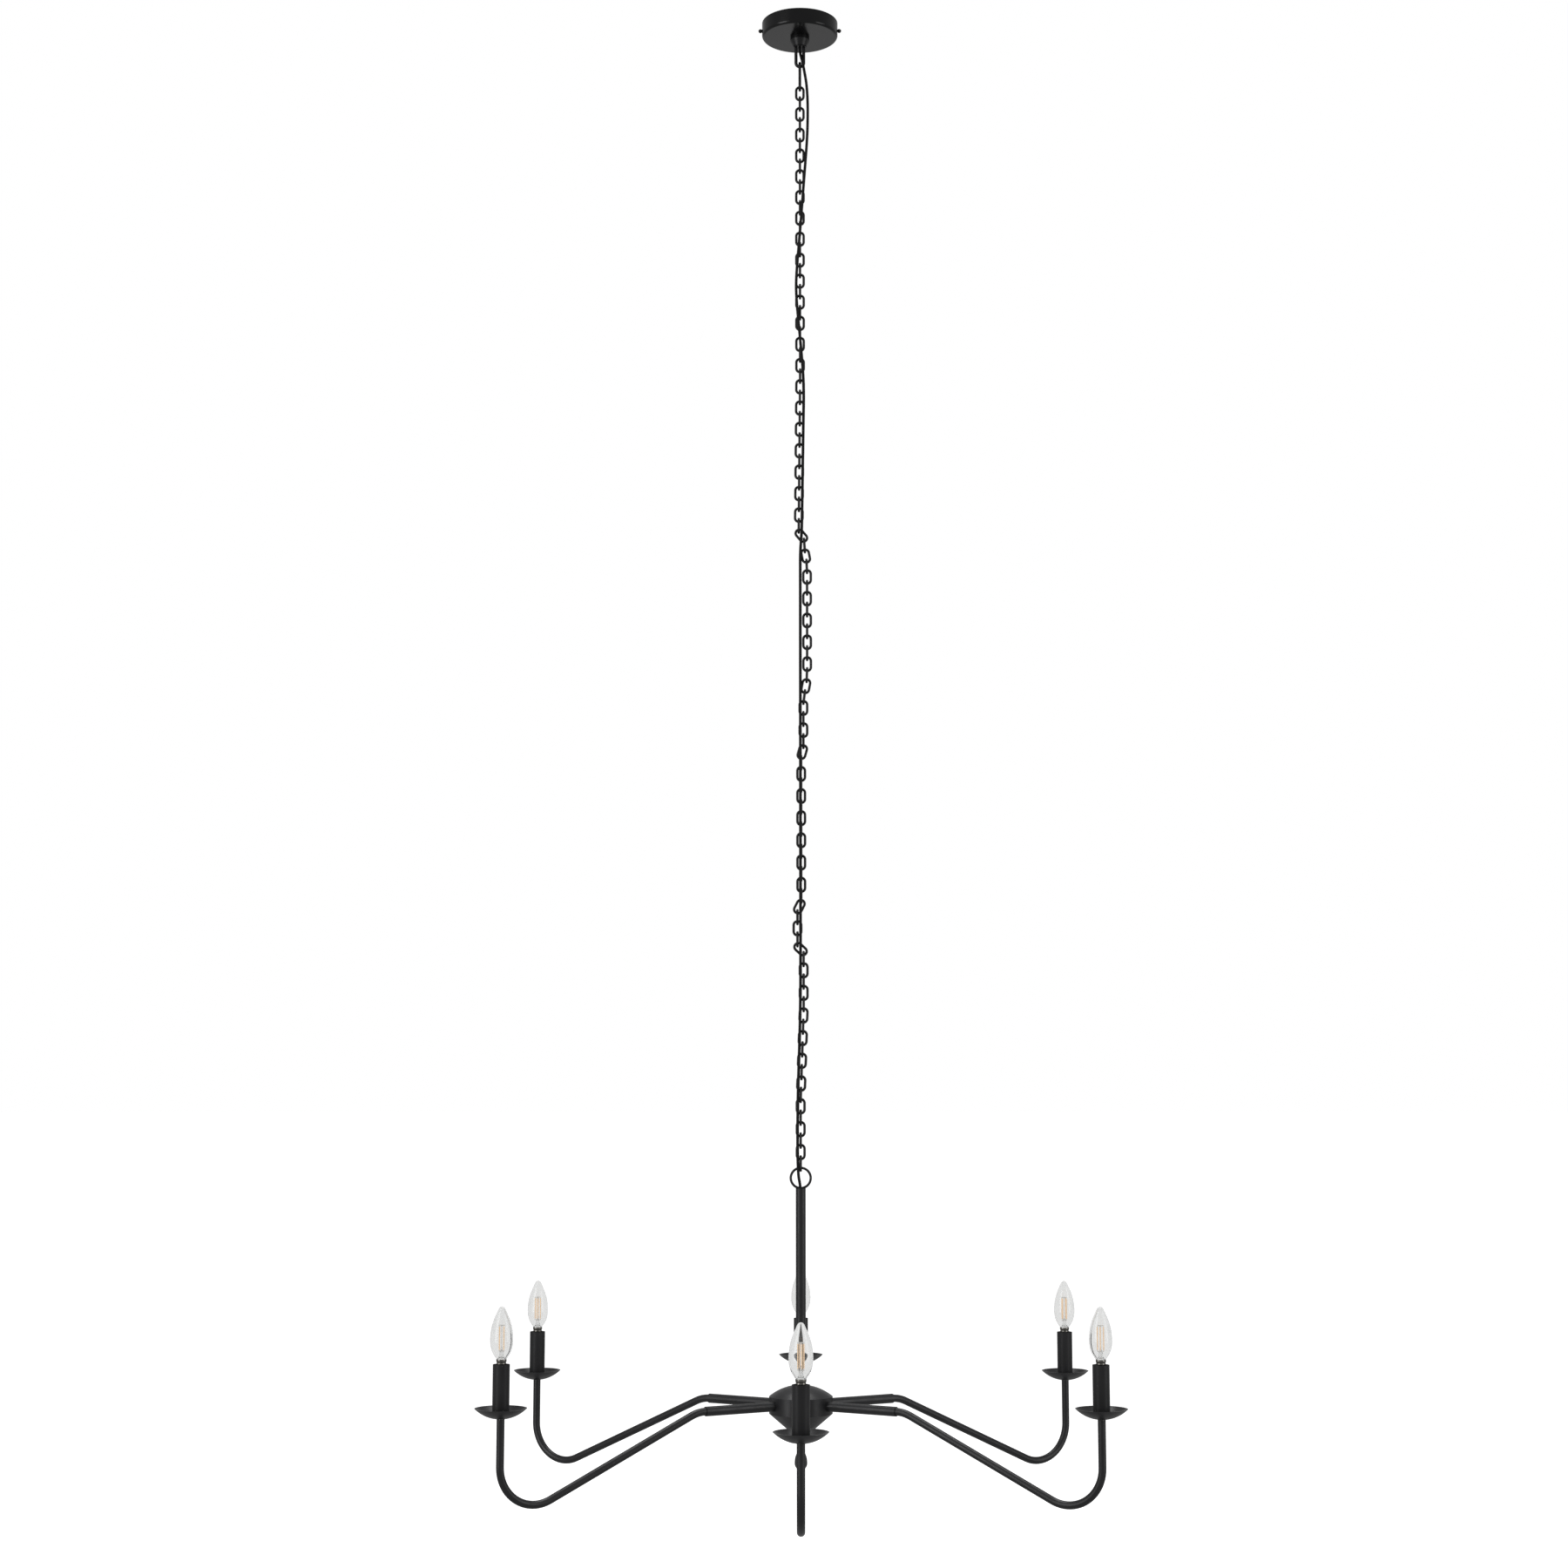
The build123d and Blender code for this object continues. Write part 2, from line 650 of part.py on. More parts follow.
# Flex: one cord from the terminals to the connector, in stretches that meet end to end


def flex_point(number):
    """Point of the flex beside the foot of a link."""
    place = along(flex_places, number)
    return Vector(place.X, place.Y, feet[number].Z)


def between(start, end, share):
    """Point part of the way along a straight run."""
    return start + (end - start) * share


first_reach = (first_wire + flex_d) / 2 + flex_gap
loop_front = (loop_wire + flex_d) / 2 + flex_gap
stem_side = -(stem_bore_d + ring_wire) / 4  # midway between the ring's foot and the stem's wall
past_loop = Vector(first_reach, -loop_front, loop_bar_z + loop_wire / 2)
past_ring = Vector(-reach, -ring_front, ring_bar_z - ring_wire - link_wire)
into_stem = Vector(0, stem_side, stem_top_z + 3)
loop_split = between(past_loop, flex_point(0), 0.2)
mid_split = flex_point(mid_number)
ring_split = between(flex_point(94), past_ring, 0.5)
flex_routes = {
    "flex_ceiling": [
        Vector(block_x, 0, -cup_h / 3),
        Vector(0, 0, -cup_h / 3),
        Vector(0, 0, collar_foot_z + 1),
        Vector(0.1 * first_reach, -0.3 * loop_front, collar_foot_z - 0.3 * loop_h),
        Vector(first_reach / 2, -loop_front, collar_foot_z - 0.55 * loop_h),
        past_loop,
        loop_split,
    ],
    "flex_upper": [loop_split, *[flex_point(number) for number in (*winding, 42, 44)], mid_split],
    "flex_lower": [mid_split, flex_point(86), flex_point(94), ring_split],
    "flex_stem": [
        ring_split,
        past_ring,
        into_stem,
        Vector(0, stem_side, stem_top_z - flex_run),
        Vector(0, 0, dome_top_z + flex_drop),
        Vector(0, 0, hub_z),
        Vector(flex_end_x, 0, hub_z),
    ],
}


def widest_radii(points):
    """Largest arc at each corner that leaves a tenth of the shorter run straight."""
    radii = []
    for before, corner, after in zip(points, points[1:], points[2:]):
        shorter = min((corner - before).length, (after - corner).length)
        half_turn = math.radians((corner - before).get_angle(after - corner)) / 2
        radii.append(0.45 * shorter / math.tan(half_turn))
    return radii


flex_total = 0.0
for name, route in flex_routes.items():
    radii = widest_radii(route)
    line = FilletPolyline(*route, radius=radii)
    nodes[name] = tube(line, flex_d)
    flex_total += line.length
    share = nodes[name].volume / (math.pi / 4 * flex_d**2 * line.length)
    rounded = [round(radius) for radius in radii]
    print(name, "radii", rounded, "length", round(line.length), "fill", round(share, 4))
print("flex length", round(flex_total))

# Points on the joints' axes
print("loop bar", 0, 0, round(loop_bar_z, 3))
print("first bar", 0, 0, round(first_bar_z, 3))
sway_bars = {"upper": mid_number - 1, "mid": mid_number, "lower": link_count - 1, "end": link_count}
for title, number in sway_bars.items():
    print(title, "bar", *[round(value, 3) for value in foot_bar(number)])
candle_top_z = candle_foot_z + candle_h
print("hub", round(hub_z, 3), "rim", round(hub_z + dish_rise, 3), "candle top", round(candle_top_z, 3))
print("glass", round(glass_z, 3), "tip", round(glass_z + glass_h, 3), "ring", round(ring_z, 3))

os.makedirs("parts", exist_ok=True)
for name, shape in nodes.items():
    export_step(shape, "parts/" + name + ".step")
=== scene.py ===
import bpy
import json
import math
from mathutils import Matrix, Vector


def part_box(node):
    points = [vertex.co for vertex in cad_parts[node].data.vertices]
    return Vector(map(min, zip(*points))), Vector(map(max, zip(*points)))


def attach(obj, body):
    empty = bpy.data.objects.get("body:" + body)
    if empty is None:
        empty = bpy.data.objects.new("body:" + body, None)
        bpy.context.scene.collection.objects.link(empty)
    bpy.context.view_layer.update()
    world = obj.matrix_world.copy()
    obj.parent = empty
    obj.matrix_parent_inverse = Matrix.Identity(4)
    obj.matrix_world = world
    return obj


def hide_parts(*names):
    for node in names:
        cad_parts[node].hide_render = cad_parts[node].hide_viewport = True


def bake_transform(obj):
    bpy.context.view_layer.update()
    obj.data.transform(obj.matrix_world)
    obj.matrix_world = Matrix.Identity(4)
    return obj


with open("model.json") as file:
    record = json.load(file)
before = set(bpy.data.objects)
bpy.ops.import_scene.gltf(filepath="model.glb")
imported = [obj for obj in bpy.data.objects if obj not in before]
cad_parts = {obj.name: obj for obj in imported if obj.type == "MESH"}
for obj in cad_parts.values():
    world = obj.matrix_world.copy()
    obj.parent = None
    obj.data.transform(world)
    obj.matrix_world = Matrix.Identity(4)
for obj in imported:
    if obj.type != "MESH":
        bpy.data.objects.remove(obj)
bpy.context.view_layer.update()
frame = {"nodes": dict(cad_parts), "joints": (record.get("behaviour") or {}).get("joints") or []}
nodes = frame["nodes"]

# Ceiling bracket, terminals and hanger nut: a folded zinc plated strap that is screwed to the ceiling, a
# moulded terminal block under it, and the nut that holds the hanger. The cup hides all three from below.


def new_finish(name):
    """An empty finish: its material, its shader and the piece's own coordinates."""
    finish = bpy.data.materials.new(name)
    finish.use_nodes = True
    shader = finish.node_tree.nodes["Principled BSDF"]
    place = finish.node_tree.nodes.new("ShaderNodeTexCoord").outputs["Object"]
    return finish, shader, place


def grain(finish, place, size, stretch=(1, 1, 1), detail=3.0):
    """Noise with grains of a size in metres, drawn out by a stretch along each axis."""
    net = finish.node_tree
    spread = net.nodes.new("ShaderNodeMapping")
    spread.inputs["Scale"].default_value = [1 / size / part for part in stretch]
    noise = net.nodes.new("ShaderNodeTexNoise")
    noise.inputs["Scale"].default_value = 1.0
    noise.inputs["Detail"].default_value = detail
    net.links.new(place, spread.inputs["Vector"])
    net.links.new(spread.outputs["Vector"], noise.inputs["Vector"])
    return noise.outputs["Fac"]


noise_low = 0.3
noise_high = 0.7


def tint(finish, height, dark, light):
    """Colour that runs from dark to light with a noise."""
    ramp = finish.node_tree.nodes.new("ShaderNodeValToRGB")
    ramp.color_ramp.elements[0].position = noise_low
    ramp.color_ramp.elements[0].color = (*dark, 1)
    ramp.color_ramp.elements[1].position = noise_high
    ramp.color_ramp.elements[1].color = (*light, 1)
    finish.node_tree.links.new(height, ramp.inputs["Fac"])
    shader = finish.node_tree.nodes["Principled BSDF"]
    finish.node_tree.links.new(ramp.outputs["Color"], shader.inputs["Base Color"])


def gloss(finish, height, least, most):
    """Roughness that runs between two values with a noise."""
    span = finish.node_tree.nodes.new("ShaderNodeMapRange")
    span.inputs["From Min"].default_value = noise_low
    span.inputs["From Max"].default_value = noise_high
    span.inputs["To Min"].default_value = least
    span.inputs["To Max"].default_value = most
    finish.node_tree.links.new(height, span.inputs["Value"])
    shader = finish.node_tree.nodes["Principled BSDF"]
    finish.node_tree.links.new(span.outputs["Result"], shader.inputs["Roughness"])


def relief(finish, height, depth):
    """Small bumps of a depth in metres."""
    bump = finish.node_tree.nodes.new("ShaderNodeBump")
    bump.inputs["Strength"].default_value = 0.6
    bump.inputs["Distance"].default_value = depth
    finish.node_tree.links.new(height, bump.inputs["Height"])
    shader = finish.node_tree.nodes["Principled BSDF"]
    finish.node_tree.links.new(bump.outputs["Normal"], shader.inputs["Normal"])


def wear_finish(finish, names):
    """The named pieces of the frame take a finish in their material slots."""
    for name in names:
        nodes[name].data.materials.clear()
        nodes[name].data.materials.append(finish)


zinc, shader, place = new_finish("zinc_plate")
shader.inputs["Metallic"].default_value = 1.0
spangle = grain(zinc, place, size=0.006)
tint(zinc, spangle, dark=(0.42, 0.42, 0.40), light=(0.62, 0.62, 0.60))
gloss(zinc, spangle, least=0.28, most=0.45)
relief(zinc, grain(zinc, place, size=0.0009), depth=0.00006)
wear_finish(zinc, ["ceiling_bracket", "hanger_locknut"])

moulded, shader, place = new_finish("moulded_black")
tint(moulded, grain(moulded, place, size=0.02), dark=(0.022, 0.022, 0.023), light=(0.034, 0.034, 0.034))
gloss(moulded, grain(moulded, place, size=0.004), least=0.5, most=0.62)
relief(moulded, grain(moulded, place, size=0.0006), depth=0.00005)
wear_finish(moulded, ["terminal_block"])

# Ceiling cup and its two ball head screws: pressed steel, powder coated in a glossier black than the
# arms, so that the flat floor of the cup mirrors the collar and the loop under it.


def powder_coat(name, least, most, specular, depth):
    """Black powder coat of some depth of colour: cloudy, with a soft gloss and a fine orange peel."""
    coat, shader, place = new_finish(name)
    shader.inputs["Specular IOR Level"].default_value = specular
    dark = (0.75 * depth, 0.75 * depth, 0.85 * depth)
    light = (1.25 * depth, 1.25 * depth, 1.40 * depth)
    tint(coat, grain(coat, place, size=0.045), dark, light)
    gloss(coat, grain(coat, place, size=0.016), least, most)
    relief(coat, grain(coat, place, size=0.0012, detail=1.0), depth=0.00006)
    return coat


cup_coat = powder_coat("cup_powder_coat", least=0.16, most=0.22, specular=0.34, depth=0.0035)
wear_finish(cup_coat, ["ceiling_cup", "cup_screws"])

# Collar, loop and chain: a turned bell with a wire loop brazed under it, and oval links of bent steel
# wire, closed by a weld and powder coated after they were linked. The last link carries the ring.
chain_coat = powder_coat("chain_powder_coat", least=0.30, most=0.42, specular=0.40, depth=0.0055)
chain_pieces = ["hanger_collar", "hanger_loop", "first_link"]
chain_pieces += ["chain_upper", "mid_link", "chain_lower", "end_link"]
wear_finish(chain_coat, chain_pieces)

# Flex: one round black cord from the terminals down along the chain, through the stem to the connector
# in the hub. It is cut here into six lengths, each round one joint of the chain.
flex_d = 0.0048
flex_ring_step = 0.0028
flex_route = (
    (0.014, 0.0, -0.00833),
    (0.0, 0.0, -0.00833),
    (0.0, 0.0, -0.0415),
    (0.00053, -0.00168, -0.0533),
    (0.00265, -0.0056, -0.0623),
    (0.0053, -0.0056, -0.0731),
    (0.01327, 0.0, -0.1168),
    (0.01327, 0.0, -0.18964),
    (0.008, -0.00626, -0.26198),
    (0.00534, -0.00943, -0.29851),
    (0.0, -0.01577, -0.37174),
    (-0.0065, -0.0065, -0.44458),
    (-0.0065, -0.0065, -0.481),
    (0.0, -0.01577, -0.55384),
    (0.0065, -0.0065, -0.62668),
    (0.00534, -0.00607, -0.70037),
    (0.00302, -0.0052, -0.84831),
    (0.0025, -0.005, -0.88161),
    (0.0, -0.005, -0.91482),
    (0.0, -0.005, -0.94812),
    (0.0, -0.005, -1.52543),
    (0.0, -0.005, -1.67113),
    (-0.005, -0.005, -1.81672),
    (-0.005, -0.005, -1.92978),
    (0.0, -0.0046, -1.95108),
    (0.0, -0.0046, -1.99408),
    (0.0, 0.0, -2.19208),
    (0.0, 0.0, -2.28008),
    (0.0, 0.0, -2.29308),
    (0.013, 0.0, -2.29308),
)
flex_line = bpy.data.curves.new("flex_line", "CURVE")
flex_line.dimensions = "3D"
flex_line.resolution_u = 220
flex_spline = flex_line.splines.new("NURBS")
flex_spline.points.add(len(flex_route) - 1)
for point, corner in zip(flex_spline.points, flex_route):
    point.co = (*corner, 1)
flex_spline.order_u = 3
flex_spline.use_endpoint_u = True
bare_flex = bpy.data.objects.new("bare_flex", flex_line)
flex_mesh = bpy.data.meshes.new_from_object(bare_flex)
flex_points = [vertex.co.copy() for vertex in flex_mesh.vertices]
bpy.data.meshes.remove(flex_mesh)
bpy.data.objects.remove(bare_flex)
bpy.data.curves.remove(flex_line)
flex_rings = [flex_points[0]]
for point in flex_points:
    if (point - flex_rings[-1]).length > flex_ring_step:
        flex_rings.append(point)
flex_rings.append(flex_points[-1])

sheath, shader, place = new_finish("flex_sheath")
shader.inputs["Specular IOR Level"].default_value = 0.18
streaks = grain(sheath, place, size=0.012, stretch=(1, 1, 6))
tint(sheath, streaks, dark=(0.0050, 0.0050, 0.0054), light=(0.0080, 0.0080, 0.0084))
gloss(sheath, grain(sheath, place, size=0.004, stretch=(1, 1, 8)), least=0.40, most=0.52)
relief(sheath, grain(sheath, place, size=0.0007, stretch=(1, 1, 14)), depth=0.00004)


def ring_at(height):
    """Number of the flex's ring nearest to a height."""
    return min(range(len(flex_rings)), key=lambda number: abs(flex_rings[number].z - height))


def flex_length(name, rings):
    """One length of the flex along some rings, round the place where one body swings on the next."""
    line = bpy.data.curves.new(name, "CURVE")
    line.dimensions = "3D"
    line.bevel_depth = flex_d / 2
    line.bevel_resolution = 3
    line.use_fill_caps = True
    run = line.splines.new("POLY")
    run.points.add(len(rings) - 1)
    for point, ring in zip(run.points, rings):
        point.co = (*ring, 1)
    flex = bpy.data.objects.new(name, line)
    bpy.context.collection.objects.link(flex)
    bpy.ops.object.select_all(action="DESELECT")
    flex.select_set(True)
    bpy.context.view_layer.objects.active = flex
    bpy.ops.object.convert(target="MESH")
    bpy.ops.object.shade_smooth()
    flex = bpy.context.object
    flex.data.materials.clear()
    flex.data.materials.append(sheath)
    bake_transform(flex)
    return flex


flex_stands_for = {
    "flex_at_loop": "flex_ceiling",
    "flex_below_loop": "flex_upper",
    "flex_above_mid": None,
    "flex_below_mid": "flex_lower",
    "flex_above_ring": None,
    "flex_in_stem": "flex_stem",
}
swings = [joint for joint in frame["joints"] if joint["name"].endswith("_swing")]
cuts = [0]
for upper, lower in zip(swings, swings[1:]):
    cuts.append(ring_at((upper["pos_m"][2] + lower["pos_m"][2]) / 2))
cuts.append(len(flex_rings) - 1)
for number, (name, solid) in enumerate(flex_stands_for.items()):
    flex = flex_length(name, flex_rings[cuts[number]:cuts[number + 1] + 1])
    if solid:
        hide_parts(solid)

# Ring, stem, hub, arms and dishes: steel wire, tubes and pressed shells, screwed together on the centre
# rod and powder coated in one satin black. The rod, the nuts, the connector and the wires are hidden.
arms = range(1, 7)
satin_coat = powder_coat("satin_powder_coat", least=0.30, most=0.42, specular=0.44, depth=0.0145)
satin_pieces = ["hanging_ring", "stem_tube", "hub_dome", "hub_band", "hub_cone", "finial", "arm_sleeves"]
satin_pieces += ["arm_tube_" + str(arm) for arm in arms]
satin_pieces += ["drip_dish_" + str(arm) for arm in arms]
wear_finish(satin_coat, satin_pieces)
wear_finish(zinc, ["centre_rod", "hub_nuts", "sleeve_nuts"])
wear_finish(moulded, ["wire_connector"])
wear_finish(sheath, ["arm_wires"])

# Lampholders and candle covers: black moulded holders on threaded nipples, which clamp the dishes to the
# ends of the arms. A plain satin black tube stands loose in each dish, over its holder.
wear_finish(moulded, ["lampholders"])
wear_finish(zinc, ["holder_nipples"])
cover_black, shader, place = new_finish("cover_satin_black")
shader.inputs["Specular IOR Level"].default_value = 0.22
draw_marks = grain(cover_black, place, size=0.010, stretch=(1, 1, 6))
tint(cover_black, draw_marks, dark=(0.0190, 0.0190, 0.0200), light=(0.0260, 0.0260, 0.0276))
gloss(cover_black, grain(cover_black, place, size=0.006, stretch=(1, 1, 5)), least=0.36, most=0.48)
relief(cover_black, grain(cover_black, place, size=0.0010, stretch=(1, 1, 4)), depth=0.00005)
wear_finish(cover_black, ["candle_cover_" + str(arm) for arm in arms])

# Bulb caps: pressed screw caps of nickel plated brass with a rolled thread, an insulated contact at the
# foot and a smooth collar that the glass is cemented into. Each is screwed into its lampholder.
glass_low, glass_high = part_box("bulb_glass_1")
arm_reach = -(glass_low[1] + glass_high[1]) / 2
cap_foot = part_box("bulb_cap_1")[0][2]
neck_z = glass_low[2]
thread_turns = 6
thread_pitch = 0.0028
thread_start = 0.0046
thread_root_r = 0.0062
thread_crest_r = 0.0067


def rings_from(base, outline):
    """Rings of a turned piece on a base. A point of the outline is (radius, rise)."""
    return [(radius, base + rise) for radius, rise in outline]


def turned_piece(name, rings, sides):
    """A turned or blown piece, drawn up ring by ring to a closed top. A ring is (radius, height)."""
    radius, height = rings[0]
    bpy.ops.object.select_all(action="DESELECT")
    bpy.ops.mesh.primitive_circle_add(vertices=sides, radius=radius, location=(0, 0, 0))
    piece = bpy.context.object
    piece.name = name
    bpy.ops.object.mode_set(mode="EDIT")
    bpy.ops.mesh.select_all(action="SELECT")
    bpy.ops.transform.translate(value=(0, 0, height))
    for next_radius, next_height in rings[1:]:
        bpy.ops.mesh.extrude_region_move(TRANSFORM_OT_translate={"value": (0, 0, next_height - height)})
        share = next_radius / radius
        bpy.ops.transform.resize(value=(share, share, 1), center_override=(0, 0, next_height))
        radius, height = next_radius, next_height
    bpy.ops.mesh.merge(type="CENTER")
    bpy.ops.mesh.select_all(action="SELECT")
    bpy.ops.mesh.normals_make_consistent(inside=False)
    bpy.ops.object.mode_set(mode="OBJECT")
    return piece


def close_foot():
    """The open ring at the foot of the active turned piece is filled."""
    bpy.ops.object.mode_set(mode="EDIT")
    bpy.ops.mesh.select_all(action="SELECT")
    bpy.ops.mesh.fill_holes(sides=0)
    bpy.ops.mesh.normals_make_consistent(inside=False)
    bpy.ops.object.mode_set(mode="OBJECT")


def six_bulbs(piece, stands_for=None):
    """A piece modelled on the hub's axis is copied to the six lampholders."""
    for arm in arms:
        copy = piece.copy()
        copy.data = piece.data.copy()
        copy.name = piece.name + "_" + str(arm)
        bpy.context.collection.objects.link(copy)
        turn = math.radians(60 * (arm - 1) - 90)
        copy.location = (arm_reach * math.cos(turn), arm_reach * math.sin(turn), 0)
        copy.rotation_euler = (0, 0, turn)
        bpy.ops.object.select_all(action="DESELECT")
        copy.select_set(True)
        bpy.context.view_layer.objects.active = copy
        bpy.ops.object.transform_apply(location=True, rotation=True, scale=True)
        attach(copy, "bulb_" + str(arm))
        if stands_for:
            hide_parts(stands_for + "_" + str(arm))
    bpy.data.objects.remove(piece)


contact_outline = ((0.0010, 0.0), (0.0030, 0.0), (0.0040, 0.0012), (0.0043, 0.0030), (0.0060, 0.0038))
thread_outline = (
    (thread_root_r, 0.0), (thread_crest_r, 0.0009),
    (thread_crest_r, 0.0016), (thread_root_r, 0.0025),
)
collar_outline = (
    (0.0064, -0.0076), (0.0072, -0.0070), (0.0074, -0.0058), (0.0070, -0.0050),
    (0.0070, -0.0044), (0.0075, -0.0036), (0.0078, -0.0024), (0.0078, -0.0006),
    (0.0076, 0.0), (0.0069, 0.0), (0.0030, -0.0004), (0.0008, -0.0004),
)
cap_rings = rings_from(cap_foot, contact_outline)
for turn in range(thread_turns):
    cap_rings += rings_from(cap_foot + thread_start + thread_pitch * turn, thread_outline)
cap_rings += rings_from(neck_z, collar_outline)
bulb_cap = turned_piece("bulb_screw_cap", cap_rings, sides=40)
close_foot()
bpy.ops.object.shade_smooth_by_angle(angle=math.radians(40))
cap_metal, shader, place = new_finish("cap_nickel")
shader.inputs["Metallic"].default_value = 1.0
tint(cap_metal, grain(cap_metal, place, size=0.003), dark=(0.15, 0.145, 0.13), light=(0.27, 0.26, 0.24))
gloss(cap_metal, grain(cap_metal, place, size=0.002), least=0.22, most=0.36)
relief(cap_metal, grain(cap_metal, place, size=0.0006, stretch=(1, 1, 0.3)), depth=0.00003)
bulb_cap.data.materials.append(cap_metal)
six_bulbs(bulb_cap, "bulb_cap")

# Bulb stems: clear glass tubes inside the bulbs, flared onto the neck and pinched above it, where the
# lead wires come out. A thin glass rod goes on from the pinch to the top of the filaments.
stem_outline = (
    (0.0062, 0.0006), (0.0058, 0.0016), (0.0042, 0.0036), (0.0032, 0.0062),
    (0.0030, 0.0090), (0.0026, 0.0112), (0.0013, 0.0130), (0.0011, 0.0200),
    (0.0010, 0.0460), (0.0012, 0.0490), (0.0006, 0.0504),
)
bulb_stem = turned_piece("bulb_stem", rings_from(neck_z, stem_outline), sides=24)
close_foot()
bpy.ops.object.shade_smooth()
glass, shader, place = new_finish("clear_glass")
shader.inputs["Transmission Weight"].default_value = 1.0
shader.inputs["IOR"].default_value = 1.46
tint(glass, grain(glass, place, size=0.03), dark=(0.855, 0.858, 0.855), light=(0.885, 0.886, 0.882))
gloss(glass, grain(glass, place, size=0.02), least=0.0, most=0.02)
bulb_stem.data.materials.append(glass)
six_bulbs(bulb_stem)

# Filaments: four sticks of small lamps under a peach coloured coat, stood in a square round the stem and
# welded to the lead wires at both ends. The coat carries a painted glow: a weak emission that stands in
# for the room light which the glass keeps off the filaments.
filament_foot = neck_z + 0.0140
filament_l = 0.0340
filament_r = 0.00085
filament_side = 0.0046
filament_turns = (20, 110, 200, 290)


def stick(radius, place, length, sides):
    """An upright round stick with rounded ends, from its foot up."""
    bpy.ops.object.select_all(action="DESELECT")
    middle = (place[0], place[1], place[2] + length / 2)
    bpy.ops.mesh.primitive_cylinder_add(vertices=sides, radius=radius, depth=length, location=middle)
    piece = bpy.context.object
    rounding = piece.modifiers.new("rounding", "BEVEL")
    rounding.width = radius * 0.6
    rounding.segments = 2
    rounding.limit_method = "ANGLE"
    bpy.ops.object.modifier_apply(modifier="rounding")
    return piece


def joined(name, pieces):
    """Several pieces become one, with its place in its mesh."""
    bpy.ops.object.select_all(action="DESELECT")
    for piece in pieces:
        piece.select_set(True)
    bpy.context.view_layer.objects.active = pieces[0]
    bpy.ops.object.join()
    bpy.ops.object.transform_apply(location=True, rotation=True, scale=True)
    bpy.ops.object.shade_smooth_by_angle(angle=math.radians(50))
    bpy.context.object.name = name
    return bpy.context.object


corners = []
for turn in filament_turns:
    angle = math.radians(turn)
    corners.append((filament_side * math.cos(angle), filament_side * math.sin(angle)))
sticks = [stick(filament_r, (*corner, filament_foot), filament_l, sides=12) for corner in corners]
filaments = joined("bulb_filaments", sticks)
phosphor_and_painted_glow, shader, place = new_finish("filament_phosphor_and_painted_glow")
tint(phosphor_and_painted_glow, grain(phosphor_and_painted_glow, place, size=0.0012), dark=(0.84, 0.58, 0.34), light=(0.91, 0.68, 0.46))
gloss(phosphor_and_painted_glow, grain(phosphor_and_painted_glow, place, size=0.0008), least=0.45, most=0.6)
relief(phosphor_and_painted_glow, grain(phosphor_and_painted_glow, place, size=0.0006), depth=0.00004)
# Painted glow: this weak emission lights the filaments in place of the room light that the glass keeps off
# them.
shader.inputs["Emission Color"].default_value = (1.0, 0.74, 0.50, 1)
shader.inputs["Emission Strength"].default_value = 0.32
filaments.data.materials.append(phosphor_and_painted_glow)
six_bulbs(filaments)

# Lead wires: bright steel tags welded to both ends of the sticks, and the thin wire rings that join them.
# A short length of the lead shows where it is sealed into the pinch of the stem.
tag_r = 0.00040
tag_l = 0.0024
tag_lap = 0.0002
ring_wire_r = 0.00032
ring_gap = 0.0018
sealed_r = 0.00036
sealed_l = 0.0034
sealed_drop = 0.0030
filament_top = filament_foot + filament_l
leads = []
for corner in corners:
    leads.append(stick(tag_r, (*corner, filament_foot + tag_lap - tag_l), tag_l, sides=8))
    leads.append(stick(tag_r, (*corner, filament_top - tag_lap), tag_l, sides=8))
for ring_z in (filament_foot - ring_gap, filament_top + ring_gap):
    bpy.ops.object.select_all(action="DESELECT")
    bpy.ops.mesh.primitive_torus_add(major_radius=filament_side, minor_radius=ring_wire_r,
                                     location=(0, 0, ring_z), major_segments=32, minor_segments=8)
    leads.append(bpy.context.object)
leads.append(stick(sealed_r, (0, 0, filament_foot - sealed_drop), sealed_l, sides=8))
bulb_leads = joined("bulb_leads", leads)
lead_steel, shader, place = new_finish("lead_wire_steel")
shader.inputs["Metallic"].default_value = 1.0
tint(lead_steel, grain(lead_steel, place, size=0.002), dark=(0.70, 0.68, 0.65), light=(0.82, 0.80, 0.77))
gloss(lead_steel, grain(lead_steel, place, size=0.001), least=0.25, most=0.4)
bulb_leads.data.materials.append(lead_steel)
six_bulbs(bulb_leads)

# Bulb glass: a clear candle shape, blown in a mould with an even wall and drawn to a small round tip. Its
# neck is cemented into the collar of the cap.
glass_wall = 0.0008
glass_outline = (
    (0.0075, 0.0), (0.0083, 0.0012), (0.0098, 0.0036), (0.0119, 0.0066), (0.0139, 0.0102),
    (0.0156, 0.0146), (0.0168, 0.0196), (0.0174, 0.0246), (0.0175, 0.0290), (0.0172, 0.0350),
    (0.0165, 0.0415), (0.0153, 0.0480), (0.0135, 0.0546), (0.0112, 0.0608), (0.0087, 0.0662),
    (0.0067, 0.0706), (0.0052, 0.0740), (0.0036, 0.0764), (0.0017, 0.0778),
)
bulb_glass = turned_piece("bulb_glass_envelope", rings_from(neck_z, glass_outline), sides=32)
smoothing = bulb_glass.modifiers.new("smoothing", "SUBSURF")
smoothing.levels = 1
smoothing.render_levels = 1
bpy.ops.object.modifier_apply(modifier="smoothing")
wall = bulb_glass.modifiers.new("wall", "SOLIDIFY")
wall.thickness = glass_wall
wall.offset = -1.0
bpy.ops.object.modifier_apply(modifier="wall")
bpy.ops.object.shade_smooth()
bulb_glass.data.materials.append(glass)
six_bulbs(bulb_glass, "bulb_glass")

